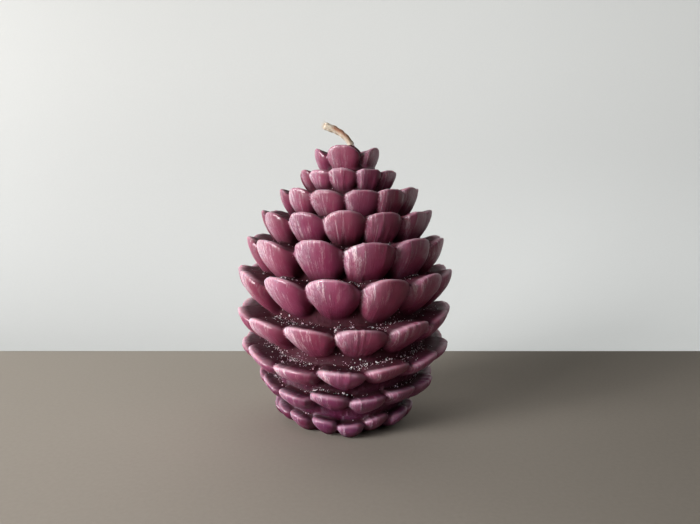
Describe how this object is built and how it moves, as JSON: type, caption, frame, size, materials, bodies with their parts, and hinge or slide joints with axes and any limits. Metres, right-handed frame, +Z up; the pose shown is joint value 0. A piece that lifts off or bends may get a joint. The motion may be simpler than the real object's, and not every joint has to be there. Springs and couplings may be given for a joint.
{
  "type": "pinecone candle",
  "caption": "Moulded wax candle in the shape of an upright pinecone, with tiers of rounded scales around a turned core and a bent cotton wick standing out of the top.",
  "frame": {"origin": "middle of the flat base, on the surface that the candle stands on", "axes": "+Z up along the candle and its wick, -Y towards the front, +X to the right as seen from the front"},
  "size_m": [0.065, 0.0648, 0.0905],
  "materials": {
    "plum_wax": "glossy, slightly translucent plum-coloured candle wax",
    "waxed_cotton": "undyed braided cotton, soaked with wax"
  },
  "bodies": {
    "root": {"wax_body": "plum_wax", "wick": "waxed_cotton"}
  },
  "joints": []
}
